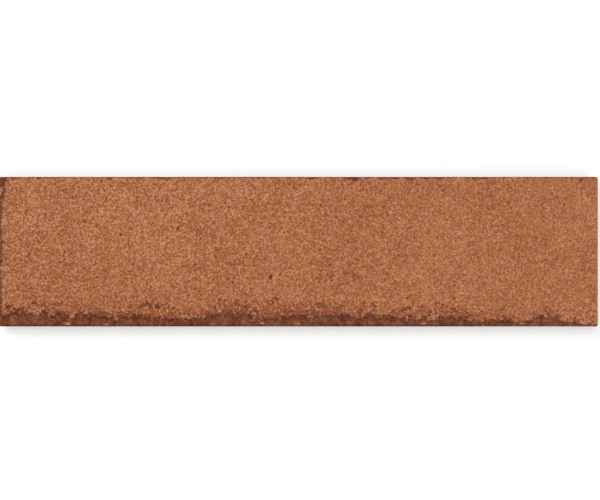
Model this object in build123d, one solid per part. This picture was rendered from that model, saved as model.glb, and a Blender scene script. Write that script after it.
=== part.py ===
from build123d import *

import math
import os

# A rustic floor tile, dry-pressed and fired in one piece, lying face up.
# X runs along the tile, Y across it and Z up through its thickness.
# The origin is the middle of the back, on the plane of the ribs that bed on the floor.

# Driving dimensions, in millimetres and degrees

# Slab: a belt of full size above a skirt that tapers in to the back
LENGTH = 280.0
WIDTH = 70.0
THICKNESS = 10.0
CORNER_RADIUS = 1.0
ARRIS_RADIUS = 0.7
CORNER_LIMIT = 0.9
SKIRT_HEIGHT = 4.0
SKIRT_DRAFT = 6.0

# Worn edges: how far the broken face lies in from the edge, at even stations along that edge.
# The front edge runs from left to right, and the left edge from back to front.
FRONT_REACH = (
    *(4.4, 6.6, 6.3, 6.8, 5.6, 5.7, 6.1, 4.9, 4.7, 5.6),
    *(4.4, 4.0, 4.0, 4.2, 5.2, 6.0, 6.6, 5.2, 4.2, 4.9),
    *(5.6, 5.1, 5.4, 5.9, 4.8, 5.4, 4.8, 3.6, 4.5, 4.2),
    *(4.2, 3.5, 2.3, 2.7, 2.7, 2.6, 4.8, 5.1, 1.7, 1.4, 0.6),
)
LEFT_REACH = (3.3, 2.4, 1.4, 1.5, 1.3, 1.5, 1.4, 1.7)
FRONT_DROP = 1.3
LEFT_DROP = 0.9
LEDGE_SLOPE = 5.0
BREAK_SLOPE = 50.0
NOSE_RADIUS = 1.2

# Keyed back: shallow pockets between ribs, inside a plain border
BORDER = 6.0
RIB_WIDTH = 3.0
POCKET_SIZE = 13.0
POCKET_DEPTH = 1.0
POCKET_CHAMFER = 2.0
POCKET_DRAFT = 25.0

# Room by which a cutter passes the faces that it cuts through
PASS = 4.0


def tile_blank():
    """The pressed slab before wear, with its face arris rounded."""
    outline = Pos(0, 0, SKIRT_HEIGHT) * RectangleRounded(LENGTH, WIDTH, CORNER_RADIUS)
    belt = extrude(outline, THICKNESS - SKIRT_HEIGHT)
    skirt = extrude(outline, -SKIRT_HEIGHT, taper=SKIRT_DRAFT)
    blank = belt + skirt
    face_edges = blank.faces().sort_by(Axis.Z)[-1].edges()
    return fillet(face_edges, min(ARRIS_RADIUS, CORNER_LIMIT * CORNER_RADIUS))


def ledge_prism(edge_length, drop, deepest_reach):
    """What lies above the ledge that wear leaves: it falls to the edge and rounds over into the side."""
    ledge_edge = THICKNESS - drop
    inner = deepest_reach + PASS
    ledge_inner = ledge_edge + inner * math.tan(math.radians(LEDGE_SLOPE))
    nose_end = ledge_edge - 2 * NOSE_RADIUS
    top = THICKNESS + PASS
    outer_corners = [(-PASS, top), (-PASS, nose_end), (0, nose_end), (0, ledge_edge)]
    inner_corners = [(inner, ledge_inner), (inner, top)]
    profile = make_face(Polyline(*outer_corners, *inner_corners, close=True))
    nose = profile.vertices().sort_by_distance((0, ledge_edge, 0))[0]
    profile = fillet(nose, NOSE_RADIUS)
    return extrude(Plane.YZ * profile, edge_length / 2 + PASS, both=True)


def break_wall(edge_length, reaches, drop):
    """What lies outside the broken wall: a spline through the reaches, leaning out as it goes down."""
    pitch = edge_length / (len(reaches) - 1)
    padded = (reaches[0], *reaches, reaches[-1])
    lean = 1 / math.tan(math.radians(BREAK_SLOPE))
    depth = drop + 2 * NOSE_RADIUS
    outside = -PASS - depth * lean
    sections = []
    for height in (PASS, -depth):
        line = [((i - 1) * pitch - edge_length / 2, reach + height * lean) for i, reach in enumerate(padded)]
        start = (line[0][0], outside)
        end = (line[-1][0], outside)
        border = Spline(*line) + Polyline(line[-1], end, start, line[0])
        sections.append(Pos(0, 0, THICKNESS + height) * make_face(border))
    return loft(sections, ruled=True)


def worn_edge(edge_length, reaches, drop):
    """The cutter for one worn edge, drawn with that edge along X and the tile on its +Y side."""
    return ledge_prism(edge_length, drop, max(reaches)) & break_wall(edge_length, reaches, drop)


def even_pockets(span):
    """How many pockets fit along the span between the borders, and how long each one then is."""
    count = max(1, round((span + RIB_WIDTH) / (POCKET_SIZE + RIB_WIDTH)))
    return count, (span - (count - 1) * RIB_WIDTH) / count


def back_pockets():
    """The keying pockets, in even rows and columns with a rib between each two."""
    skirt_inset = SKIRT_HEIGHT * math.tan(math.radians(SKIRT_DRAFT))
    columns, pocket_length = even_pockets(LENGTH - 2 * (skirt_inset + BORDER))
    rows, pocket_width = even_pockets(WIDTH - 2 * (skirt_inset + BORDER))
    mouth = chamfer(Rectangle(pocket_length, pocket_width).vertices(), POCKET_CHAMFER)
    pocket = extrude(mouth, POCKET_DEPTH, taper=POCKET_DRAFT)
    places = GridLocations(pocket_length + RIB_WIDTH, pocket_width + RIB_WIDTH, columns, rows)
    return [place * pocket for place in places]


def floor_tile():
    """The whole tile: the blank, less its worn front and left edges and the pockets of its back."""
    front_wear = Pos(0, -WIDTH / 2, 0) * worn_edge(LENGTH, FRONT_REACH, FRONT_DROP)
    left_wear = Pos(-LENGTH / 2, 0, 0) * Rot(0, 0, -90) * worn_edge(WIDTH, LEFT_REACH, LEFT_DROP)
    return tile_blank() - front_wear - left_wear - back_pockets()


os.makedirs("parts", exist_ok=True)
export_step(floor_tile(), "parts/floor_tile.step")
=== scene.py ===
"""The looks of a rustic stoneware floor tile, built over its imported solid. Lengths are in metres."""

import math
from collections import namedtuple

import bmesh
import bpy
import numpy as np
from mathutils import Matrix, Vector
from mathutils.bvhtree import BVHTree


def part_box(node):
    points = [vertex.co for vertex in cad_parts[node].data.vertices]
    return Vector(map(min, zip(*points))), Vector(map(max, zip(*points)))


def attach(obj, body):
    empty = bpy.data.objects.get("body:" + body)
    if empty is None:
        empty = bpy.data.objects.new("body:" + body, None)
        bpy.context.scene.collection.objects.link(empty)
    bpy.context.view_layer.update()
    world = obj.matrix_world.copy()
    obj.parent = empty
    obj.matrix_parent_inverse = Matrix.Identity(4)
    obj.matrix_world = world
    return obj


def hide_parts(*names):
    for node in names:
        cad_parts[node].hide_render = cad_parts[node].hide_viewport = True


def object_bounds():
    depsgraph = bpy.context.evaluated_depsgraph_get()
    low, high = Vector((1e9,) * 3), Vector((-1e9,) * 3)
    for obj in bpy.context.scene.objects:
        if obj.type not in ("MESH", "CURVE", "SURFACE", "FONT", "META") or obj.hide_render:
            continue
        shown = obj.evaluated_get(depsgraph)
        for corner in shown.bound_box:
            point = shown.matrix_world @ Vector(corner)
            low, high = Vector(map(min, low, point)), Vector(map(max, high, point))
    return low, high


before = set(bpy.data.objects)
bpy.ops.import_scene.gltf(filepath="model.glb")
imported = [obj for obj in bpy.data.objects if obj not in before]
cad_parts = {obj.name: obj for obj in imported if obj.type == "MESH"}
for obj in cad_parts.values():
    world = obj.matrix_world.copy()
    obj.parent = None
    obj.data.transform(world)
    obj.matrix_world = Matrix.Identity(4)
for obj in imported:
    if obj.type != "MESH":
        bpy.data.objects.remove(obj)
cad_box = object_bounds()

MM = 0.001
NODE = "floor_tile"
PIECE = "stoneware_tile"

# The front and right edges of the tile
FRONT_LINE = cad_box[0].y
RIGHT_LINE = cad_box[1].x

# The photograph's width and centre, and where the tile's face lies in it, in pixels
PHOTO_WIDTH = 600
PHOTO_CENTRE = (300.0, 250.0)
FACE_LEFT, FACE_RIGHT = -1.3, 597.7
FACE_TOP, FACE_BOTTOM = 177.3, 326.2

# The camera, with its lens and sensor in millimetres
LENS = 85.0
SENSOR_WIDTH = 36.0
NEAREST_SEEN, FURTHEST_SEEN = 0.01, 20.0

# The tile is widest this far under its face
RIM_DROP = 0.7 * MM

# Mesh of the face: insets of the grid lines beside each edge, and the pitch of the lines between them
EDGE_INSETS = np.array([0.0, 0.06, 0.16, 0.3, 0.5, 0.75, 1.05, 1.4]) * MM
PITCH_ALONG = 0.52 * MM
PITCH_ACROSS = 0.55 * MM

# The pitch is finer across the band along the front edge, where the face is broken away
PITCH_MARGIN = 0.38 * MM
MARGIN_BAND = 8.5 * MM

# The radius of the tile's corners, and the angle in degrees past which an edge of the mesh is shaded sharp
CORNER_RADIUS = 1.0 * MM
SHARP_ANGLE = 38.0

# Mesh of the sides, down to the skirt, and of the back, whose faces are the solid's own up to a depth
SKIRT_TOP = 4.0 * MM
SIDE_STRIPS = 5
SIDE_ROUGHNESS = 0.12 * MM
BACK_DEPTH = 1.05 * MM

# Probing of the solid: how far inside its outline, and how close its corners are to count as one
PROBE_INSET = 0.02 * MM
SAME_CORNER = 0.001 * MM

# Relief as layers of noise, each with the height and width of its bumps, in millimetres, and its seed
RAGGED_ALONG = ((0.9, 4.0, 11), (0.5, 1.6, 12))
RAGGED_ACROSS = ((0.7, 5.5, 21), (0.9, 1.9, 22))
RAGGED_NICKS = ((0.4, 1.7, 33),)
SWELL = ((0.10, 34.0, 41), (0.05, 9.0, 42))
GRAIN = ((0.05, 1.25, 51), (0.025, 0.625, 52))
RUBBLE = ((0.20, 2.8, 61), (0.09, 1.1, 62))
SIDE_RELIEF = ((0.06, 2.4, 71), (0.06, 9.0, 72))

# Layers for the rims of the pits, with the height as a share of the radius
RAGGED_PITS = ((0.5, 0.9, 31),)

# A noise repeats after this many bumps
NOISE_TABLE = 256

# The relief lies under the face of the solid by this much, so that it hardly rises above it
FACE_SINK = 0.12 * MM

# Distances from the outline between which lines become ragged, and up to which the relief comes in
RAGGED_FROM, RAGGED_FULL = 0.2 * MM, 2.0 * MM
RELIEF_FULL = 1.0 * MM

# Drops between which rubble takes the place of grain, and past which the face counts as broken away
WEAR_FROM, WEAR_FULL = 0.08 * MM, 0.3 * MM
BREAK_DROP = 0.15 * MM

# How far in from the other edges a break is looked for, and how far from it points begin to count alike
SIDE_BAND = 4.0 * MM
BEHIND_LIMIT = 12.0 * MM

# How much wider the brown ground looks than the break at three edges, and narrower at the right one
FRONT_SPREAD = 0.25 * MM
LEFT_SPREAD = 0.35 * MM
BACK_SPREAD = 0.24 * MM
RIGHT_SPARED = 0.5 * MM

# Nicks in the back edge, each with its place along the tile, half its length and its reach, in millimetres
BACK_NICKS = (
    (-132.5, 3.2, 1.0), (-120.8, 1.4, 1.6), (-117.1, 1.3, 1.1), (-88.5, 1.3, 1.7), (-78.2, 1.1, 1.5),
    (-61.3, 3.6, 1.4), (-45.6, 1.3, 1.2), (-36.7, 2.6, 1.3), (6.2, 3.1, 1.4), (24.0, 5.6, 1.3),
    (26.8, 1.8, 2.5), (32.4, 2.1, 1.4), (38.5, 1.5, 1.8), (43.6, 4.6, 1.1), (52.3, 3.2, 1.5),
    (60.0, 3.0, 1.3), (65.7, 3.2, 1.5), (84.4, 9.4, 1.2), (132.2, 1.6, 2.2),
)

# The chip at the left edge's back corner, as two nicks with their places across the tile
LEFT_NICKS = ((36.0, 12.0, 3.9), (28.5, 5.0, 3.4))

# The depth of a nick, and the width of its sloping rim
NICK_DEPTH = 0.45 * MM
NICK_RIM = 0.6 * MM

# Pits in the face, each with its place and radius, in millimetres
PITS = (
    (-56.3, 10.8, 1.0), (-12.9, -11.8, 1.35), (-30.4, -14.1, 0.75), (-63.6, 24.0, 0.65),
    (-105.5, 25.3, 0.75), (-99.9, 14.1, 0.5), (-82.9, 8.0, 0.75), (-130.9, -17.6, 0.75),
    (-36.8, -22.5, 0.75), (-24.3, -0.9, 0.65), (67.8, 28.6, 0.85), (39.7, 21.0, 0.55),
    (51.0, -21.7, 0.75), (73.1, -21.7, 0.85), (0.3, 26.0, 0.65), (-135.8, -25.8, 0.6),
    (-124.0, -24.2, 0.6), (-70.9, -24.1, 0.8), (57.9, -25.7, 0.75), (101.0, -3.0, 0.5),
)

# The depth of a pit, and where its floor ends and its rim lies, as shares of its radius
PIT_DEPTH = 0.35 * MM
PIT_FLOOR, PIT_RIM = 0.3, 1.1

# Brown stains, each with its place, half length, half width and turn, in millimetres and degrees
STAINS = (
    (-68.3, -25.3, 11.0, 1.9, 0.0), (9.9, -25.1, 4.8, 2.1, -19.0), (-11.2, -22.3, 3.2, 2.6, 30.0),
    (73.2, -27.0, 3.6, 1.6, 0.0), (-128.8, -26.6, 5.0, 1.2, 6.0), (-123.5, -24.0, 2.2, 1.5, 40.0),
    (34.8, -25.0, 2.2, 1.4, 0.0), (51.0, -26.8, 2.6, 1.6, 0.0), (95.5, -26.6, 2.2, 1.2, 0.0),
    (-136.0, -25.6, 1.8, 1.4, 90.0), (-131.0, -28.2, 5.0, 1.1, 0.0), (6.4, -33.4, 6.0, 1.1, 0.0),
    (-84.9, -33.0, 5.4, 0.8, 0.0), (-32.5, -32.6, 4.0, 1.0, 0.0), (-79.0, -34.2, 4.5, 0.7, 0.0),
    (93.5, -33.2, 12.0, 1.6, 0.0),
)

# Fainter stains, given in the same way, and how strong they are
FAINT_STAINS = (
    (-120.5, 7.0, 6.0, 4.0, 60.0), (-84.0, -20.9, 2.6, 2.2, 0.0), (-37.0, -22.7, 3.0, 2.2, 0.0),
    (-127.0, 18.0, 3.6, 1.6, -20.0), (-126.0, -1.5, 4.5, 2.4, -15.0), (39.6, 21.2, 2.6, 1.4, 15.0),
    (-103.0, -26.0, 3.4, 2.0, 0.0), (66.0, -24.0, 5.0, 2.2, 0.0), (-50.5, -23.7, 4.0, 2.4, 0.0),
    (-61.0, -25.6, 5.0, 2.0, 0.0), (89.5, -30.2, 5.0, 1.6, 0.0),
)
FAINTNESS = 0.42

# Tan patches that are left on the worn ground, given as the stains are
PATCHES = (
    (-139.5, 28.3, 2.4, 1.1, 90.0), (-122.2, -27.4, 3.8, 2.6, 0.0), (-105.6, -29.5, 1.9, 1.6, 30.0),
    (-107.7, -33.7, 1.6, 0.8, 0.0), (-89.9, -34.1, 1.8, 0.6, 0.0), (-85.0, -31.4, 1.2, 0.9, 0.0),
    (-80.5, -26.8, 3.0, 1.2, 0.0), (-52.4, -30.2, 4.8, 0.8, 0.0), (-20.8, -31.2, 1.5, 0.9, 90.0),
    (-16.9, -33.3, 1.4, 0.9, 0.0), (-0.5, -33.5, 2.0, 0.6, 0.0), (41.5, -29.0, 2.0, 0.9, 0.0),
    (56.2, -30.7, 1.5, 1.7, 0.0), (62.5, -30.9, 3.6, 2.0, 0.0), (58.3, -33.5, 2.0, 0.7, 0.0),
    (80.2, -31.4, 1.7, 1.5, 0.0), (88.7, -30.4, 4.2, 2.0, 0.0), (115.6, -30.2, 1.5, 0.8, 0.0),
    (133.7, -32.6, 3.8, 1.5, 0.0), (24.0, -28.2, 4.5, 1.1, 0.0), (5.5, -30.4, 2.2, 0.8, 0.0),
    (50.0, -32.0, 1.6, 0.8, 0.0),
)

# Where a stain or patch starts to fade and where it ends, as shares of its half sizes
SPOT_CORE, SPOT_RIM = 0.2, 1.2

# How high a patch stands on the worn ground, and the shares of patch between which it rises
PATCH_HEIGHT = 0.25 * MM
PATCH_RISE_FROM, PATCH_RISE_FULL = 0.2, 0.6

# Colours of the fired clay as a screen shows them, red, green and blue from 0 to 255
SAND = (173, 105, 72)
OCHRE = (171, 109, 67)
SPECK = (110, 48, 20)
GROUND = (121, 67, 45)
# The painted shade under the front break, whose colour the stains on the worn ground share
BREAK_SHADE_AND_STAIN = (98, 56, 40)
FRONT_RED = (102, 42, 26)
STAIN = (100, 50, 27)
PIT = (82, 26, 2)
RUBBED = (138, 73, 56)
# The colour of the light crumbs, which is partly a painted glint
CRUMB_AND_GLINT = (214, 152, 114)
FLECK = (184, 122, 90)
GREY_EDGE = (152, 122, 102)
SIDE_CLAY = (130, 78, 55)
BACK_CLAY = (150, 96, 70)
DUST = (196, 164, 140)

# How far a colour's lightest and darkest tones lie from it, and the places of the stops between them
SAND_REACH = 64
GROUND_REACH = 54
SHADE_REACH = 40
CLAY_REACH = 60
RAMP_PLACES = (0, 0.25, 0.5, 0.75, 1)

# The middle of a noise or a tone
MIDDLE = 0.5

# A noise has the width of its bumps in millimetres, its detail and roughness, and a place of its own.
# Its bumps are as tall as wide, unless they are drawn out upright.
Noise = namedtuple("Noise", "width detail roughness place upright", defaults=[1.0])
FACE_NOISES = {
    "micro": Noise(0.26, 1.0, 0.5, 19.0),
    "fine": Noise(0.80, 0.0, 0.5, 1.0),
    "middle": Noise(1.7, 2.0, 0.5, 2.0),
    "broad": Noise(8.0, 2.0, 0.5, 3.0),
    "slow": Noise(45.0, 2.0, 0.5, 4.0),
    "ground": Noise(1.6, 2.0, 0.6, 5.0),
    "patches": Noise(4.0, 3.0, 0.6, 6.0),
    "specks": Noise(1.4, 0.0, 0.5, 7.0),
    "rubs": Noise(3.2, 2.0, 0.6, 8.0),
    "flecks": Noise(2.0, 1.0, 0.5, 9.0),
    "dots": Noise(1.3, 1.0, 0.5, 10.0),
    "blotches": Noise(4.0, 2.0, 0.6, 12.0),
    "crumbs_and_glints": Noise(1.3, 0.0, 0.5, 14.0),
    "ochre": Noise(5.0, 3.0, 0.6, 17.0),
    "crowds": Noise(22.0, 1.0, 0.5, 18.0),
}
SIDE_NOISES = {
    "fine": Noise(0.7, 2.0, 0.6, 11.0),
    "middle": Noise(3.5, 3.0, 0.5, 12.0),
    "slow": Noise(30.0, 2.0, 0.5, 13.0),
    "drag": Noise(0.9, 2.0, 0.6, 15.0, 8.0),
    "pores": Noise(1.2, 1.0, 0.5, 16.0),
}
BACK_NOISES = {
    "fine": Noise(0.8, 2.0, 0.6, 21.0),
    "middle": Noise(4.0, 3.0, 0.5, 22.0),
    "slow": Noise(40.0, 2.0, 0.5, 23.0),
}

# An onset says where something starts and where it is full, by a value, and its share there
Onset = namedtuple("Onset", "start full share", defaults=[1.0])

# The sand, by the weights of the noises in it: its grain, which is stronger towards the left end
SAND_GRAIN = {"micro": 0.45, "fine": 0.84}
GRAIN_STRENGTH = 0.90
GRAIN_COARSENS = Onset(RIGHT_LINE, -RIGHT_LINE, 0.26)

# The sand's mottling, its tint and specks, its light crumbs, which are partly painted glints, and its
# greyed right edge
SAND_MOTTLING = {"middle": 0.20, "broad": 0.17, "slow": 0.20}
OCHRE_TINT = Onset(0.3, 0.7)
SPECK_CROWDS = {"crowds": 0.12}
DARK_SPECKS = Onset(0.70, 0.78, 0.75)
LIGHT_CRUMBS_AND_GLINTS = Onset(0.68, 0.76, 0.55)
GREYED = Onset(RIGHT_LINE - 1.6 * MM, RIGHT_LINE - 0.2 * MM, 0.6)

# The rubbed band behind the front break, in millimetres, and how it darkens and tints the sand and adds
# light crumbs to it, which are partly painted glints
RUB_PATCHES = {"rubs": 13.0, "middle": 6.0}
RUB_NEAR = Onset(6.5, -1.5)
RUB_WIDENS = Onset(-45.0 * MM, -20.0 * MM, 2.8)
RUB_WIDE_STRETCH_ENDS = Onset(22.0 * MM, 4.0 * MM)
RUB_NARROWS = Onset(85.0 * MM, 105.0 * MM, 2.5)
RUB_DARKENING = 0.24
RUB_SHARE = 0.30
RUB_CRUMBS_AND_GLINTS = 0.09

# The stains, and the dark dots, which crowd in them and thin out with each millimetre behind the break
STAIN_GRAIN = {"fine": -3.5, "middle": -2.0}
STAINED = Onset(0.2, 1.0, 0.68)
DOT_CROWDING = 0.07
DOT_THINNING = 0.010
DARK_DOTS = Onset(0.56, 0.65, 0.8)

# The worn ground: its tone, which pales to the right, the painted shade under the break, whose colour its
# stains share, and the red front edge
GROUND_TONE = {"fine": 0.55, "ground": 0.8, "patches": 1.0}
GROUND_PALES = Onset(70.0 * MM, 120.0 * MM)
PALER_TONE = 0.10
SHADE_PATCHES = {"patches": 8.0}
SHADED = Onset(-2.6, -0.6)
SHADE_ENDS = Onset(2.0, 0.8)
SHADE_AND_STAIN_SHARE = 0.7
RED_PATCHES = {"patches": 1.6 * MM}
RED_EDGE = Onset(FRONT_LINE + 1.8 * MM, FRONT_LINE)
RED_SHARE = 0.8
RED_FADING = 0.5
FLECKS = Onset(0.68, 0.75, 0.4)

# The tan patches, and how far their edges crumble
PATCH_EDGES = {"fine": 2.0, "middle": 2.4}
KEPT = Onset(0.3, 0.55)
KEPT_SHARE = 0.9

# The rim of the worn ground, in millimetres, which crumbles most at the front edge, and that of the pits
WORN_EDGES = {"fine": 3.2, "middle": 5.5, "blotches": 8.5}
WORN = Onset(0.4, -0.4)
CRUMBLING = 0.2
FRONT_CRUMBLING = Onset(FRONT_LINE + 11.0 * MM, FRONT_LINE + 7.0 * MM, 0.8)
PIT_EDGES = {"fine": 0.5}
PITTED = Onset(0.25, 0.7, 0.85)

# The sides, with their pores and the pale dust that clings to them up to a height
SIDE_TONE = {"fine": 0.7, "middle": 0.5, "slow": 0.4, "drag": 0.35}
PORES = Onset(0.67, 0.74)
PORE_SHARE = 0.55
PORE_DEPTH = 0.8
DUST_HEIGHT = 6.0 * MM
SIDE_DUST = Onset(0.1, 0.6, 0.5)

# The back, with dust on its ribs
BACK_TONE = {"fine": 0.8, "middle": 0.7, "slow": 0.6}
ON_RIBS = Onset(0.5 * MM, 0.05 * MM)
DUST_PATCHES = {"middle": 0.6}
RIB_DUST = Onset(0.35, 0.85, 0.7)

# The noises in the bump of the face
FACE_BUMPS = {"micro": 0.35, "fine": 0.7, "middle": 0.5}

# Finishes, each with its roughness, the noises in it and its bump's depth, and the clay's specular level
Finish = namedtuple("Finish", "roughness unevenness bump_depth")
FACE_FINISH = Finish(0.8, {"middle": 0.3}, 0.16 * MM)
SIDE_FINISH = Finish(0.85, {"fine": 0.2}, 0.12 * MM)
BACK_FINISH = Finish(0.88, {"fine": 0.15}, 0.14 * MM)
SPECULAR = 0.15

# The floor, which the camera sees as white from some way off, and the sky
FLOOR_SIZE = 6.0
FLOOR_Z = -0.02 * MM
FLOOR_ALBEDO = 0.8
FLOOR_ROUGHNESS = 0.9
FLOOR_SPECULAR = 0.1
FLOOR_LIFT = 0.32
FLOOR_WHITE_FROM, FLOOR_WHITE_AT = 0.3, 0.9
SKY_STRENGTH = 0.45
WHITE = (1, 1, 1, 1)

# Soft square lamps, each with its place, the length of its side and its power in watts
Lamp = namedtuple("Lamp", "place size power")
LAMPS = {"key": Lamp((-0.55, 0.65, 1.5), 1.6, 16.0), "fill": Lamp((0.9, -0.5, 1.4), 1.4, 6.0)}


def smoothstep(low, high, value):
    """0 below low, 1 above high, and a smooth rise between them."""
    share = np.clip((value - low) / (high - low), 0, 1)
    return share * share * (3 - 2 * share)


def gradient_noise(x, y, cell, seed):
    """Smooth noise of about -1 to 1, with bumps about as wide as the cell."""
    angles = np.random.default_rng(seed).uniform(0, 2 * math.pi, (NOISE_TABLE, NOISE_TABLE))
    u, v = x / cell, y / cell
    column, row = np.floor(u).astype(int), np.floor(v).astype(int)
    u, v = u - column, v - row
    ease_u = u * u * u * (u * (u * 6 - 15) + 10)
    ease_v = v * v * v * (v * (v * 6 - 15) + 10)
    total = np.zeros_like(u)
    for right in (0, 1):
        for up in (0, 1):
            angle = angles[(row + up) % NOISE_TABLE, (column + right) % NOISE_TABLE]
            slope = np.cos(angle) * (u - right) + np.sin(angle) * (v - up)
            weight = (ease_u if right else 1 - ease_u) * (ease_v if up else 1 - ease_v)
            total += weight * slope
    return total * math.sqrt(2)


def layered_noise(x, y, layers):
    """The sum of layers of noise, in the unit of their heights."""
    return sum(height * gradient_noise(x, y, width * MM, seed) for height, width, seed in layers)


class CadTile:
    """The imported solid: its size, its height at any point, and the faces of its keyed back."""

    def __init__(self, obj):
        self.half_length, self.half_width, self.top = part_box(obj.name)[1]
        self.mesh = bmesh.new()
        self.mesh.from_mesh(obj.data)
        bmesh.ops.remove_doubles(self.mesh, verts=self.mesh.verts, dist=SAME_CORNER)
        self.tree = BVHTree.FromBMesh(self.mesh)

    def heights(self, x, y):
        """The height of the solid's upper surface at each point, probed just inside its outline."""
        inner_x = x * (1 - PROBE_INSET / self.half_length)
        inner_y = y * (1 - PROBE_INSET / self.half_width)
        down = Vector((0, 0, -1))
        found = np.empty(len(x))
        for i, (px, py) in enumerate(zip(inner_x, inner_y)):
            hit = self.tree.ray_cast(Vector((px, py, 2 * self.top)), down)[0]
            if hit is None:
                hit = self.tree.find_nearest(Vector((px, py, self.top)))[0]
            found[i] = hit.z
        return found

    def back(self):
        """The points and faces of the back with its pockets, and its outline in order."""
        faces = [face for face in self.mesh.faces if all(v.co.z < BACK_DEPTH for v in face.verts)]
        chosen = set(faces)
        numbers = {}
        follow = {}
        for vert in (v for face in faces for v in face.verts):
            numbers.setdefault(vert, len(numbers))
        for face in faces:
            for loop in face.loops:
                if not any(other in chosen for other in loop.edge.link_faces if other != face):
                    follow[numbers[loop.vert]] = numbers[loop.link_loop_next.vert]
        outline = [next(iter(follow))]
        while follow[outline[-1]] != outline[0]:
            outline.append(follow[outline[-1]])
        points = np.array([vert.co for vert in numbers])
        return points, [[numbers[v] for v in face.verts] for face in faces], outline


def graded_lines(low, high, low_band, low_pitch, pitch):
    """Grid lines from low to high, close at both ends and at low_pitch within low_band of the low end."""
    start = low + EDGE_INSETS[-1]
    stop = high - EDGE_INSETS[-1]
    knee = max(start, low + low_band)
    near = np.linspace(start, knee, round((knee - start) / low_pitch) + 1)[1:]
    far = np.linspace(knee, stop, round((stop - knee) / pitch) + 1)[1:-1]
    return np.concatenate([low + EDGE_INSETS, near, far, (high - EDGE_INSETS)[::-1]])


def round_corners(x, y, tile):
    """Pulls the square corners of the grid in to the rounded corners of the tile."""
    over_x = np.clip((np.abs(x) - tile.half_length + CORNER_RADIUS) / CORNER_RADIUS, 0, 1)
    over_y = np.clip((np.abs(y) - tile.half_width + CORNER_RADIUS) / CORNER_RADIUS, 0, 1)
    pull_x = over_x * (1 - np.sqrt(1 - over_y**2 / 2)) * CORNER_RADIUS
    pull_y = over_y * (1 - np.sqrt(1 - over_x**2 / 2)) * CORNER_RADIUS
    return x - np.sign(x) * pull_x, y - np.sign(y) * pull_y


def inside_outline(tile, x, y):
    """How far each point lies inside the tile's outline."""
    return np.minimum(tile.half_length - np.abs(x), tile.half_width - np.abs(y))


def ragged_heights(tile, x, y):
    """The solid's upper surface with its break lines made ragged, while its outline stays."""
    free = MM * smoothstep(RAGGED_FROM, RAGGED_FULL, inside_outline(tile, x, y))
    shift_x = free * layered_noise(x, y, RAGGED_ALONG)
    shift_y = free * layered_noise(x, y, RAGGED_ACROSS)
    return tile.heights(x + shift_x, y + shift_y)


def nick_share(along, inset, nicks):
    """1 inside the nicks of one edge and 0 past their rims, by places along that edge and in from it."""
    share = np.zeros_like(along)
    for place, half_length, reach in nicks:
        bow = np.clip(1 - ((along - place * MM) / (half_length * MM)) ** 2, 0, 1)
        share = np.maximum(share, smoothstep(0, NICK_RIM, bow * reach * MM - inset))
    return share


def nick_drop(tile, x, y):
    """How far the nicks take the back and left edges down."""
    ragged = MM * layered_noise(x, y, RAGGED_NICKS)
    back = nick_share(x, np.maximum(tile.half_width - y + ragged, 0), BACK_NICKS)
    left = nick_share(y, np.maximum(tile.half_length + x + ragged, 0), LEFT_NICKS)
    return NICK_DEPTH * np.maximum(back, left)


def pit_share(x, y):
    """1 in the middle of each pit, falling to 0 at its ragged rim."""
    ragged = 1 + layered_noise(x, y, RAGGED_PITS)
    share = np.zeros_like(x)
    for place_x, place_y, radius in PITS:
        away = np.hypot(x - place_x * MM, y - place_y * MM) / (radius * MM)
        share = np.maximum(share, 1 - smoothstep(PIT_FLOOR, PIT_RIM, away * ragged))
    return share


def spot_share(x, y, spots):
    """1 in the middle of each long spot, fading out to 0 round it."""
    share = np.zeros_like(x)
    for place_x, place_y, half_length, half_width, turn in spots:
        cosine, sine = math.cos(math.radians(turn)), math.sin(math.radians(turn))
        dx, dy = x - place_x * MM, y - place_y * MM
        along = (cosine * dx + sine * dy) / (half_length * MM)
        across = (cosine * dy - sine * dx) / (half_width * MM)
        share = np.maximum(share, 1 - smoothstep(SPOT_CORE, SPOT_RIM, np.hypot(along, across)))
    return share


def face_relief(tile, x, y):
    """Heights of the dressed face, with the drop by wear alone and the shares of pit and of patch."""
    height = ragged_heights(tile, x, y) - nick_drop(tile, x, y)
    drop = tile.top - height
    pit = pit_share(x, y)
    patch = spot_share(x, y, PATCHES)
    wear = smoothstep(WEAR_FROM, WEAR_FULL, drop)
    grain = (1 - wear) * layered_noise(x, y, GRAIN)
    rubble = wear * layered_noise(x, y, RUBBLE)
    relief = MM * (layered_noise(x, y, SWELL) + grain + rubble) - FACE_SINK
    relief += wear * PATCH_HEIGHT * smoothstep(PATCH_RISE_FROM, PATCH_RISE_FULL, patch)
    relief *= smoothstep(0, RELIEF_FULL, inside_outline(tile, x, y))
    return height + relief - PIT_DEPTH * pit, drop, pit, patch


def break_line(lines, broken, band):
    """For each row of broken, the highest line within the band from the first one that is broken."""
    near = lines < lines[0] + band
    found = np.where(broken[:, near], lines[near], lines[0])
    return found.max(axis=1, keepdims=True)


def behind_break(lines_x, lines_y, drop):
    """How far each point lies behind the nearest broken line and behind the front one, in millimetres.

    The distance is negative on the broken ground.
    """
    broken = drop.reshape(len(lines_y), len(lines_x)) > BREAK_DROP
    front = lines_y[:, None] - break_line(lines_y, broken.T, MARGIN_BAND).T
    left = lines_x[None, :] - break_line(lines_x, broken, SIDE_BAND) - LEFT_SPREAD
    back = -lines_y[:, None] - break_line(-lines_y[::-1], broken[::-1].T, SIDE_BAND).T - BACK_SPREAD
    right = -lines_x[None, :] - break_line(-lines_x[::-1], broken[:, ::-1], SIDE_BAND) + RIGHT_SPARED
    nearest = np.minimum.reduce([front - FRONT_SPREAD, left, back, right])
    return [np.clip(distance.ravel(), -BEHIND_LIMIT, BEHIND_LIMIT) / MM for distance in (nearest, front)]


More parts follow.
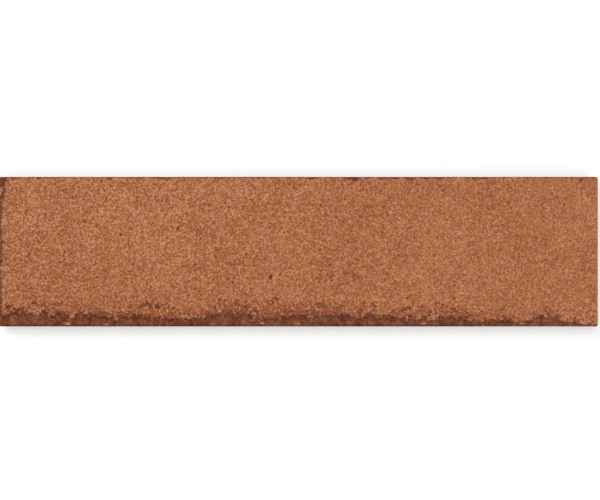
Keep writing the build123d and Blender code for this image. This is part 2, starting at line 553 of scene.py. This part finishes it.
def face_grid(tile):
    """The points of the dressed face, the shares that they hold, and the counts of columns and rows."""
    lines_x = graded_lines(-tile.half_length, tile.half_length, 0, PITCH_ALONG, PITCH_ALONG)
    lines_y = graded_lines(-tile.half_width, tile.half_width, MARGIN_BAND, PITCH_MARGIN, PITCH_ACROSS)
    grid_x, grid_y = (a.ravel() for a in np.meshgrid(lines_x, lines_y))
    x, y = round_corners(grid_x, grid_y, tile)
    z, drop, pit, patch = face_relief(tile, x, y)
    behind, behind_front = behind_break(lines_x, lines_y, drop)
    stain = np.maximum(spot_share(x, y, STAINS), FAINTNESS * spot_share(x, y, FAINT_STAINS))
    shares = {"behind": behind, "behind_front": behind_front, "pit": pit, "patch": patch, "stain": stain}
    return np.column_stack([x, y, z]), shares, len(lines_x), len(lines_y)


def grid_faces(columns, rows):
    """The faces of a grid whose points are numbered row by row."""
    corner = (np.arange(rows - 1)[:, None] * columns + np.arange(columns - 1)).ravel()
    return np.column_stack([corner, corner + 1, corner + columns + 1, corner + columns]).tolist()


def boundary_ring(columns, rows):
    """The point numbers round the grid's edge, in order and anticlockwise from above."""
    front = list(range(columns))
    right = [j * columns + columns - 1 for j in range(1, rows)]
    back = [(rows - 1) * columns + i for i in range(columns - 2, -1, -1)]
    left = [j * columns for j in range(rows - 2, 0, -1)]
    return front + right + back + left


def outward_normals(ring, tile):
    """The level direction out of the tile at each point of its rounded outline."""
    core = np.array([tile.half_length, tile.half_width]) - CORNER_RADIUS
    out = ring[:, :2] - np.clip(ring[:, :2], -core, core)
    return out / np.linalg.norm(out, axis=1, keepdims=True)


def side_levels(rim, tile):
    """Rings of points from under the rim of the face down to the skirt, each a little rough."""
    outward = outward_normals(rim, tile)
    along = np.cumsum(np.linalg.norm(rim - np.roll(rim, 1, axis=0), axis=1))
    levels = []
    for strip in range(1, SIDE_STRIPS + 1):
        level = rim.copy()
        level[:, 2] += strip / SIDE_STRIPS * (SKIRT_TOP - rim[:, 2])
        rough = SIDE_ROUGHNESS / 2 + MM * layered_noise(along, level[:, 2], SIDE_RELIEF)
        level[:, :2] -= outward * np.clip(rough, 0, SIDE_ROUGHNESS)[:, None]
        levels.append(level)
    return levels


def band_faces(upper, lower):
    """The faces between two closed rings of equal counts, both anticlockwise from above."""
    following = [*range(1, len(upper)), 0]
    return [[upper[i], lower[i], lower[j], upper[j]] for i, j in enumerate(following)]


def ring_turns(ring, points):
    """The angle of each point of a ring about the tile's middle, without a jump."""
    return np.unwrap(np.arctan2(points[ring, 1], points[ring, 0]))


def least_turn(angle):
    """The same angle within half a turn of zero."""
    return np.angle(np.exp(1j * angle))


def zip_rings(upper, lower, points):
    """Triangles between two closed rings of different counts, both anticlockwise from above."""
    upper_turns = ring_turns(upper, points)
    start = upper_turns[0]
    nearest = int(np.argmin(np.abs(least_turn(ring_turns(lower, points) - start))))
    lower = lower[nearest:] + lower[:nearest]
    lower_turns = ring_turns(lower, points)
    lower_turns += start + least_turn(lower_turns[0] - start) - lower_turns[0]
    upper_turns = np.append(upper_turns, start + 2 * math.pi)
    lower_turns = np.append(lower_turns, lower_turns[0] + 2 * math.pi)
    i = j = 0
    faces = []
    while i < len(upper) or j < len(lower):
        a, b = upper[i % len(upper)], lower[j % len(lower)]
        if j == len(lower) or (i < len(upper) and upper_turns[i + 1] <= lower_turns[j + 1]):
            i += 1
            faces.append([a, b, upper[i % len(upper)]])
        else:
            j += 1
            faces.append([a, b, lower[j % len(lower)]])
    return faces


def mesh_object(points, groups, shares):
    """An object with one group of faces for each material, whose first points hold the shares."""
    mesh = bpy.data.meshes.new(PIECE)
    mesh.from_pydata(points.tolist(), [], [face for faces in groups for face in faces])
    for name, values in shares.items():
        layer = mesh.attributes.new(name, "FLOAT", "POINT")
        padded = np.zeros(len(points), np.float32)
        padded[: len(values)] = values
        layer.data.foreach_set("value", padded)
    kinds = [kind for kind, faces in enumerate(groups) for _ in faces]
    mesh.polygons.foreach_set("material_index", kinds)
    mesh.shade_smooth()
    mesh.set_sharp_from_angle(angle=math.radians(SHARP_ANGLE))
    obj = bpy.data.objects.new(PIECE, mesh)
    bpy.context.scene.collection.objects.link(obj)
    return obj


def dressed_tile(tile):
    """One closed mesh: the dressed face, the sides under its outline, and the keyed back of the solid."""
    face_points, shares, columns, rows = face_grid(tile)
    ring = boundary_ring(columns, rows)
    levels = side_levels(face_points[ring], tile)
    back_points, back_faces, back_outline = tile.back()
    points = np.concatenate([face_points, *levels, back_points])
    first = len(face_points)
    side_faces = []
    for level in levels:
        lower = list(range(first, first + len(level)))
        side_faces += band_faces(ring, lower)
        ring = lower
        first += len(level)
    side_faces += zip_rings(ring, [first + i for i in reversed(back_outline)], points)
    back_faces = [[first + i for i in face] for face in back_faces]
    return mesh_object(points, [grid_faces(columns, rows), side_faces, back_faces], shares)


def linear_level(level):
    """One channel of a screen colour, from 0 to 255, as a linear level, by the curve of sRGB."""
    share = min(255, max(0, level)) / 255
    if share <= 0.04045:
        return share / 12.92
    return ((share + 0.055) / 1.055) ** 2.4


def srgb(colour):
    """A screen colour as the linear colour that a shader takes."""
    return (*(linear_level(level) for level in colour), 1.0)


class Graph:
    """A material's node tree, with its noises and short calls for the nodes that the tile needs."""

    def __init__(self, name, noises):
        self.material = bpy.data.materials.new(name)
        self.material.use_nodes = True
        self.tree = self.material.node_tree
        self.shader = self.tree.nodes["Principled BSDF"]
        self.coords = self.tree.nodes.new("ShaderNodeTexCoord").outputs["Object"]
        self.noises = {key: self.noise(noise) for key, noise in noises.items()}

    def join(self, value, socket):
        """Links an output to the socket, or sets the socket to a plain value."""
        if isinstance(value, bpy.types.NodeSocket):
            self.tree.links.new(value, socket)
        else:
            socket.default_value = value

    def noise(self, noise):
        """The value of a noise at the point, from 0 to 1."""
        squash = self.tree.nodes.new("ShaderNodeVectorMath")
        squash.operation = "MULTIPLY"
        self.join(self.coords, squash.inputs[0])
        self.join((1, 1, 1 / noise.upright), squash.inputs[1])
        node = self.tree.nodes.new("ShaderNodeTexNoise")
        node.noise_dimensions = "4D"
        self.join(squash.outputs[0], node.inputs["Vector"])
        self.join(noise.place, node.inputs["W"])
        self.join(1 / (noise.width * MM), node.inputs["Scale"])
        self.join(noise.detail, node.inputs["Detail"])
        self.join(noise.roughness, node.inputs["Roughness"])
        return node.outputs["Fac"]

    def axis(self, name):
        """One coordinate of the point, X, Y or Z."""
        node = self.tree.nodes.new("ShaderNodeSeparateXYZ")
        self.join(self.coords, node.inputs[0])
        return node.outputs[name]

    def attribute(self, name):
        """A share or distance that the mesh holds at each point."""
        node = self.tree.nodes.new("ShaderNodeAttribute")
        node.attribute_name = name
        return node.outputs["Fac"]

    def math(self, operation, a, b):
        """One step of arithmetic."""
        node = self.tree.nodes.new("ShaderNodeMath")
        node.operation = operation
        self.join(a, node.inputs[0])
        self.join(b, node.inputs[1])
        return node.outputs[0]

    def plus(self, a, b):
        """The sum of two values."""
        return self.math("ADD", a, b)

    def minus(self, a, b):
        """The first value less the second."""
        return self.math("SUBTRACT", a, b)

    def times(self, a, b):
        """The product of two values."""
        return self.math("MULTIPLY", a, b)

    def larger(self, a, b):
        """The larger of two values."""
        return self.math("MAXIMUM", a, b)

    def blend(self, weights):
        """The sum of the named noises about their middle, times their weights."""
        total = None
        for key, weight in weights.items():
            term = self.times(self.minus(self.noises[key], MIDDLE), weight)
            total = term if total is None else self.plus(total, term)
        return total

    def onset(self, value, onset):
        """0 where the value is at the onset's start, rising smoothly to its share where it is full."""
        node = self.tree.nodes.new("ShaderNodeMapRange")
        node.interpolation_type = "SMOOTHSTEP"
        self.join(value, node.inputs["Value"])
        self.join(onset.start, node.inputs["From Min"])
        self.join(onset.full, node.inputs["From Max"])
        self.join(onset.share, node.inputs["To Max"])
        return node.outputs["Result"]

    def tones(self, tone, base, reach):
        """A ramp about the base colour, darker by the reach at tone 0 and lighter by as much at tone 1."""
        node = self.tree.nodes.new("ShaderNodeValToRGB")
        self.join(tone, node.inputs["Fac"])
        elements = node.color_ramp.elements
        while len(elements) < len(RAMP_PLACES):
            elements.new(MIDDLE)
        for element, place in zip(elements, RAMP_PLACES):
            element.position = place
            element.color = srgb([level + (2 * place - 1) * reach for level in base])
        return node.outputs["Color"]

    def mix(self, share, a, b):
        """Colour a where the share is 0 and colour b where it is 1."""
        node = self.tree.nodes.new("ShaderNodeMix")
        node.data_type = "RGBA"
        self.join(share, node.inputs["Factor"])
        self.join(a, node.inputs["A"])
        self.join(b, node.inputs["B"])
        return node.outputs["Result"]

    def finish(self, colour, height, finish):
        """Connects the shader: its colour, its roughness and its bump."""
        self.join(colour, self.shader.inputs["Base Color"])
        roughness = self.plus(finish.roughness, self.blend(finish.unevenness))
        self.join(roughness, self.shader.inputs["Roughness"])
        self.join(SPECULAR, self.shader.inputs["Specular IOR Level"])
        bump = self.tree.nodes.new("ShaderNodeBump")
        self.join(finish.bump_depth, bump.inputs["Distance"])
        self.join(height, bump.inputs["Height"])
        self.join(bump.outputs["Normal"], self.shader.inputs["Normal"])
        return self.material


def kept_share(graph):
    """1 in the tan patches, whose edges crumble."""
    crumbling = graph.plus(1.0, graph.blend(PATCH_EDGES))
    return graph.onset(graph.times(graph.attribute("patch"), crumbling), KEPT)


def rubbed_share(graph, behind_front, kept):
    """1 at the front break and 0 well away from it, in patches, and 0 in the tan patches.

    The rubbed band is wider in the middle of the tile and narrower towards its right end.
    """
    along = graph.axis("X")
    wider = graph.times(graph.onset(along, RUB_WIDENS), graph.onset(along, RUB_WIDE_STRETCH_ENDS))
    reach = graph.minus(wider, graph.onset(along, RUB_NARROWS))
    distance = graph.minus(graph.plus(behind_front, graph.blend(RUB_PATCHES)), reach)
    return graph.times(graph.onset(distance, RUB_NEAR), graph.minus(1.0, kept))


def sand_colour(graph, rubbed):
    """Terracotta with sandy grain, slow mottling, sparse specks, light crumbs that are partly painted
    glints, and browner where it is rubbed.
    """
    strength = graph.plus(GRAIN_STRENGTH, graph.onset(graph.axis("X"), GRAIN_COARSENS))
    grain = graph.times(strength, graph.blend(SAND_GRAIN))
    tone = graph.plus(MIDDLE, graph.plus(grain, graph.blend(SAND_MOTTLING)))
    tone = graph.minus(tone, graph.times(rubbed, RUB_DARKENING))
    tint = graph.onset(graph.noises["ochre"], OCHRE_TINT)
    sand = graph.mix(tint, graph.tones(tone, SAND, SAND_REACH), graph.tones(tone, OCHRE, SAND_REACH))
    sand = graph.mix(graph.times(rubbed, RUB_SHARE), sand, srgb(RUBBED))
    specks = graph.plus(graph.noises["specks"], graph.blend(SPECK_CROWDS))
    sand = graph.mix(graph.onset(specks, DARK_SPECKS), sand, srgb(SPECK))
    # Light crumbs that are partly painted glints, with more of them in the rubbed band
    crumbs_and_glints = graph.plus(graph.noises["crumbs_and_glints"], graph.times(rubbed, RUB_CRUMBS_AND_GLINTS))
    return graph.mix(graph.onset(crumbs_and_glints, LIGHT_CRUMBS_AND_GLINTS), sand, srgb(CRUMB_AND_GLINT))


def stained_colour(graph, sand, behind_front, stain):
    """The sand with brown stains, and dark dots that crowd in them and thin out behind the front break."""
    grainy = graph.plus(1.0, graph.blend(STAIN_GRAIN))
    sand = graph.mix(graph.onset(graph.times(stain, grainy), STAINED), sand, srgb(STAIN))
    crowd = graph.minus(graph.times(stain, DOT_CROWDING), graph.times(behind_front, DOT_THINNING))
    return graph.mix(graph.onset(graph.plus(graph.noises["dots"], crowd), DARK_DOTS), sand, srgb(STAIN))


def ground_colour(graph, behind_front, stain, kept):
    """The brown ground where the face has broken away, with pale flecks and tan patches.

    It has painted shade under the front break, whose colour its stains share, and it is redder at the front
    edge and paler towards the right end.
    """
    paler = graph.onset(graph.axis("X"), GROUND_PALES)
    tone = graph.plus(graph.plus(MIDDLE, graph.blend(GROUND_TONE)), graph.times(paler, PALER_TONE))
    ground = graph.tones(tone, GROUND, GROUND_REACH)
    # Painted shade in patches at the foot of the front break, and the stains, which take its dark colour
    shade_and_stain = graph.onset(graph.plus(behind_front, graph.blend(SHADE_PATCHES)), SHADED)
    shade_and_stain = graph.larger(graph.times(shade_and_stain, graph.onset(behind_front, SHADE_ENDS)), stain)
    ground = graph.mix(graph.times(shade_and_stain, SHADE_AND_STAIN_SHARE), ground, graph.tones(tone, BREAK_SHADE_AND_STAIN, SHADE_REACH))
    red = graph.onset(graph.plus(graph.axis("Y"), graph.blend(RED_PATCHES)), RED_EDGE)
    red = graph.times(red, graph.minus(RED_SHARE, graph.times(paler, RED_FADING)))
    ground = graph.mix(red, ground, graph.tones(tone, FRONT_RED, SHADE_REACH))
    bare = graph.larger(graph.onset(graph.noises["flecks"], FLECKS), graph.times(kept, KEPT_SHARE))
    return graph.mix(bare, ground, graph.tones(tone, FLECK, CLAY_REACH))


def worn_share(graph):
    """1 on the worn ground, whose rim crumbles most at the front edge."""
    crumbling = graph.plus(CRUMBLING, graph.onset(graph.axis("Y"), FRONT_CRUMBLING))
    ragged = graph.times(crumbling, graph.blend(WORN_EDGES))
    return graph.onset(graph.plus(graph.attribute("behind"), ragged), WORN)


def face_material():
    """Sandy terracotta with dark pits and stains, and brown ground where the edges are worn away."""
    graph = Graph("sandy_face", FACE_NOISES)
    behind_front = graph.attribute("behind_front")
    stain = graph.attribute("stain")
    kept = kept_share(graph)
    sand = sand_colour(graph, rubbed_share(graph, behind_front, kept))
    sand = stained_colour(graph, sand, behind_front, stain)
    sand = graph.mix(graph.onset(graph.axis("X"), GREYED), sand, srgb(GREY_EDGE))
    colour = graph.mix(worn_share(graph), sand, ground_colour(graph, behind_front, stain, kept))
    pitted = graph.onset(graph.plus(graph.attribute("pit"), graph.blend(PIT_EDGES)), PITTED)
    colour = graph.mix(pitted, colour, srgb(PIT))
    return graph.finish(colour, graph.blend(FACE_BUMPS), FACE_FINISH)


def side_material():
    """The pressed side: red-brown fired clay with speckle, dark pores and upright marks from the die."""
    graph = Graph("pressed_side", SIDE_NOISES)
    tone = graph.plus(MIDDLE, graph.blend(SIDE_TONE))
    pores = graph.onset(graph.noises["pores"], PORES)
    clay = graph.tones(tone, SIDE_CLAY, CLAY_REACH)
    clay = graph.mix(graph.times(pores, PORE_SHARE), clay, srgb(PIT))
    dust = graph.minus(graph.noises["middle"], graph.times(graph.axis("Z"), 1 / DUST_HEIGHT))
    clay = graph.mix(graph.onset(dust, SIDE_DUST), clay, srgb(DUST))
    return graph.finish(clay, graph.minus(tone, graph.times(pores, PORE_DEPTH)), SIDE_FINISH)


def back_material():
    """The keyed back: the same clay, paler, with kiln dust on the ribs."""
    graph = Graph("keyed_back", BACK_NOISES)
    tone = graph.plus(MIDDLE, graph.blend(BACK_TONE))
    clay = graph.tones(tone, BACK_CLAY, CLAY_REACH)
    dust = graph.onset(graph.plus(tone, graph.blend(DUST_PATCHES)), RIB_DUST)
    dust = graph.times(dust, graph.onset(graph.axis("Z"), ON_RIBS))
    clay = graph.mix(dust, clay, srgb(DUST))
    return graph.finish(clay, tone, BACK_FINISH)


def add_camera(tile):
    """Looks straight down, with the face where the photograph has it."""
    metres_per_pixel = 2 * tile.half_length / (FACE_RIGHT - FACE_LEFT)
    data = bpy.data.cameras.new("camera")
    data.lens = LENS
    data.sensor_width = SENSOR_WIDTH
    data.clip_start, data.clip_end = NEAREST_SEEN, FURTHEST_SEEN
    camera = bpy.data.objects.new("camera", data)
    bpy.context.scene.collection.objects.link(camera)
    camera.location = (
        (PHOTO_CENTRE[0] - (FACE_LEFT + FACE_RIGHT) / 2) * metres_per_pixel,
        ((FACE_TOP + FACE_BOTTOM) / 2 - PHOTO_CENTRE[1]) * metres_per_pixel,
        tile.top - RIM_DROP + PHOTO_WIDTH * metres_per_pixel * LENS / SENSOR_WIDTH,
    )
    bpy.context.scene.camera = camera


def seen_rays(tree):
    """1 for rays that carry a picture of the backdrop, which are camera, glossy and transmission rays."""
    paths = tree.nodes.new("ShaderNodeLightPath")
    total = paths.outputs["Is Camera Ray"]
    for kind in ("Is Glossy Ray", "Is Transmission Ray"):
        either = tree.nodes.new("ShaderNodeMath")
        either.operation = "MAXIMUM"
        tree.links.new(total, either.inputs[0])
        tree.links.new(paths.outputs[kind], either.inputs[1])
        total = either.outputs[0]
    return total


def floor_material():
    """A plain pale surface that is seen as white further off, and that doesn't light the tile by it."""
    graph = Graph("pale_floor", {})
    away = graph.tree.nodes.new("ShaderNodeVectorMath")
    away.operation = "LENGTH"
    graph.join(graph.coords, away.inputs[0])
    whiteness = graph.tree.nodes.new("ShaderNodeMapRange")
    graph.join(away.outputs["Value"], whiteness.inputs["Value"])
    graph.join(FLOOR_WHITE_FROM, whiteness.inputs["From Min"])
    graph.join(FLOOR_WHITE_AT, whiteness.inputs["From Max"])
    graph.join(FLOOR_LIFT, whiteness.inputs["To Min"])
    lift = graph.times(whiteness.outputs["Result"], seen_rays(graph.tree))
    graph.join((FLOOR_ALBEDO, FLOOR_ALBEDO, FLOOR_ALBEDO, 1), graph.shader.inputs["Base Color"])
    graph.join(FLOOR_ROUGHNESS, graph.shader.inputs["Roughness"])
    graph.join(FLOOR_SPECULAR, graph.shader.inputs["Specular IOR Level"])
    graph.join(WHITE, graph.shader.inputs["Emission Color"])
    graph.join(lift, graph.shader.inputs["Emission Strength"])
    return graph.material


def add_floor():
    """A square of plain floor under the tile, which takes its shadow."""
    half = FLOOR_SIZE / 2
    outline = ((-half, -half), (half, -half), (half, half), (-half, half))
    corners = [(x, y, FLOOR_Z) for x, y in outline]
    mesh = bpy.data.meshes.new("floor")
    mesh.from_pydata(corners, [], [(0, 1, 2, 3)])
    mesh.materials.append(floor_material())
    floor = bpy.data.objects.new("floor", mesh)
    bpy.context.scene.collection.objects.link(floor)


def add_lamp(name, lamp):
    """One soft square lamp that looks at the tile."""
    data = bpy.data.lights.new(name, "AREA")
    data.size = lamp.size
    data.energy = lamp.power
    obj = bpy.data.objects.new(name, data)
    obj.location = lamp.place
    obj.rotation_euler = (-Vector(lamp.place)).to_track_quat("-Z", "Y").to_euler()
    bpy.context.scene.collection.objects.link(obj)


def add_lights():
    """A large soft key from behind and to the left, a weaker fill, and an even pale sky."""
    for name, lamp in LAMPS.items():
        add_lamp(name, lamp)
    world = bpy.data.worlds.new("sky")
    bpy.context.scene.world = world
    world.use_nodes = True
    tree = world.node_tree
    background = tree.nodes["Background"]
    background.inputs["Color"].default_value = WHITE
    strength = tree.nodes.new("ShaderNodeMapRange")
    strength.inputs["To Min"].default_value = SKY_STRENGTH
    tree.links.new(seen_rays(tree), strength.inputs["Value"])
    tree.links.new(strength.outputs["Result"], background.inputs["Strength"])


cad_tile = CadTile(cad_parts[NODE])
piece = dressed_tile(cad_tile)
for make in (face_material, side_material, back_material):
    piece.data.materials.append(make())
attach(piece, "root")
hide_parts(NODE)
add_camera(cad_tile)
add_floor()
add_lights()
bpy.context.scene.view_settings.view_transform = "Standard"
